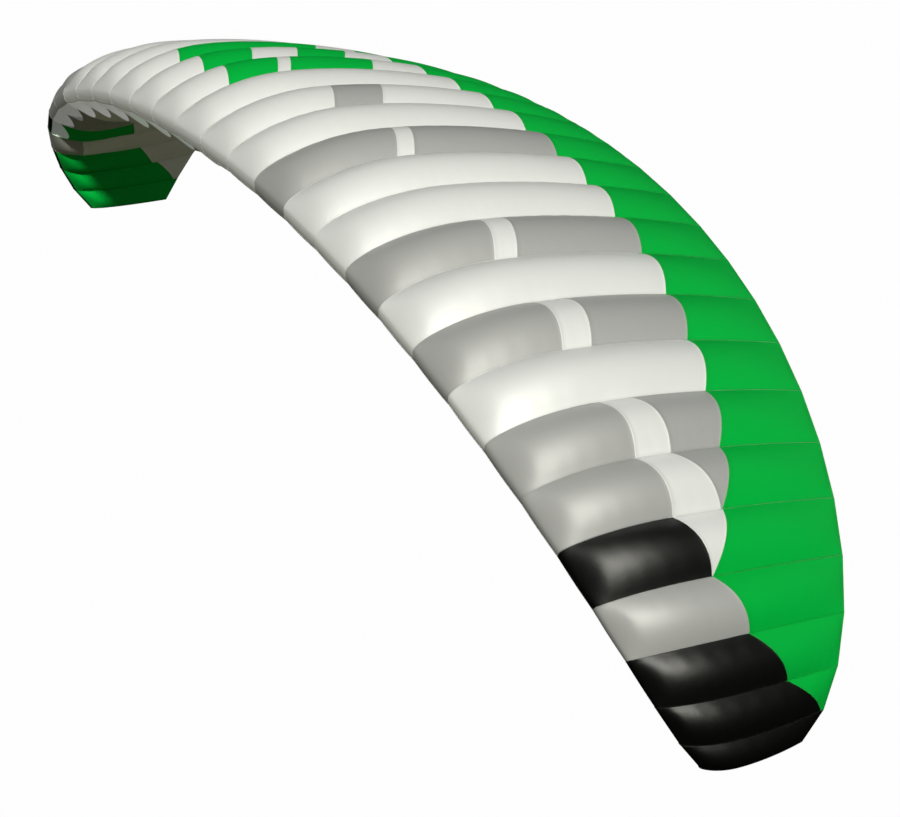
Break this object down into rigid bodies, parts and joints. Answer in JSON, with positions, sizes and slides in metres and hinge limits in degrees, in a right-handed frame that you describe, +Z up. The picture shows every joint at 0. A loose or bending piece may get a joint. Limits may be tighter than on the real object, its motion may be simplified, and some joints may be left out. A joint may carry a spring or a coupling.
{
  "type": "paraglider wing",
  "caption": "Inflated ram-air paraglider wing in its flying arc: cloth cells with air intakes under the nose, flat ribs between them and closed tips, with no lines.",
  "frame": {"origin": "on the lower skin of the centre rib, a quarter of the chord behind the nose, where the suspension lines would pull", "axes": "+X along the span, -Y towards the leading edge, +Z up, away from the pilot"},
  "size_m": [9.5632, 2.64, 2.3865],
  "materials": {
    "white_cloth": "coated ripstop cloth, slight sheen",
    "grey_cloth": "coated ripstop cloth, slight sheen",
    "black_cloth": "coated ripstop cloth, slight sheen",
    "green_cloth": "coated ripstop cloth, slight sheen",
    "rib_cloth": "coated ripstop cloth, slight sheen"
  },
  "bodies": {
    "root": {"cell_01": "black_cloth", "cell_02": "black_cloth", "cell_03": "black_cloth", "cell_04": "grey_cloth", "cell_05": "black_cloth", "cell_06": "grey_cloth", "cell_07": "grey_cloth", "cell_08": "white_cloth", "cell_09": "grey_cloth", "cell_10": "white_cloth", "cell_11": "grey_cloth", "cell_12": "white_cloth", "cell_13": "white_cloth", "cell_14": "grey_cloth", "cell_15": "white_cloth", "cell_16": "white_cloth", "cell_17": "white_cloth", "cell_18": "white_cloth", "cell_19": "white_cloth", "cell_20": "white_cloth", "cell_21": "white_cloth", "cell_22": "white_cloth", "cell_23": "white_cloth", "cell_24": "grey_cloth", "cell_25": "grey_cloth", "cell_26": "black_cloth", "cell_27": "grey_cloth", "cell_28": "black_cloth", "cell_29": "black_cloth", "cell_30": "black_cloth", "rib_04": "rib_cloth", "rib_05": "rib_cloth", "rib_06": "rib_cloth", "rib_07": "rib_cloth", "rib_08": "rib_cloth", "rib_09": "rib_cloth", "rib_10": "rib_cloth", "rib_11": "rib_cloth", "rib_12": "rib_cloth", "rib_13": "rib_cloth", "rib_14": "rib_cloth", "rib_15": "rib_cloth", "rib_16": "rib_cloth", "rib_17": "rib_cloth", "rib_18": "rib_cloth", "rib_19": "rib_cloth", "rib_20": "rib_cloth", "rib_21": "rib_cloth", "rib_22": "rib_cloth", "rib_23": "rib_cloth", "rib_24": "rib_cloth", "rib_25": "rib_cloth", "rib_26": "rib_cloth", "tip_panel_right": "black_cloth", "tip_panel_left": "black_cloth"}
  },
  "joints": []
}
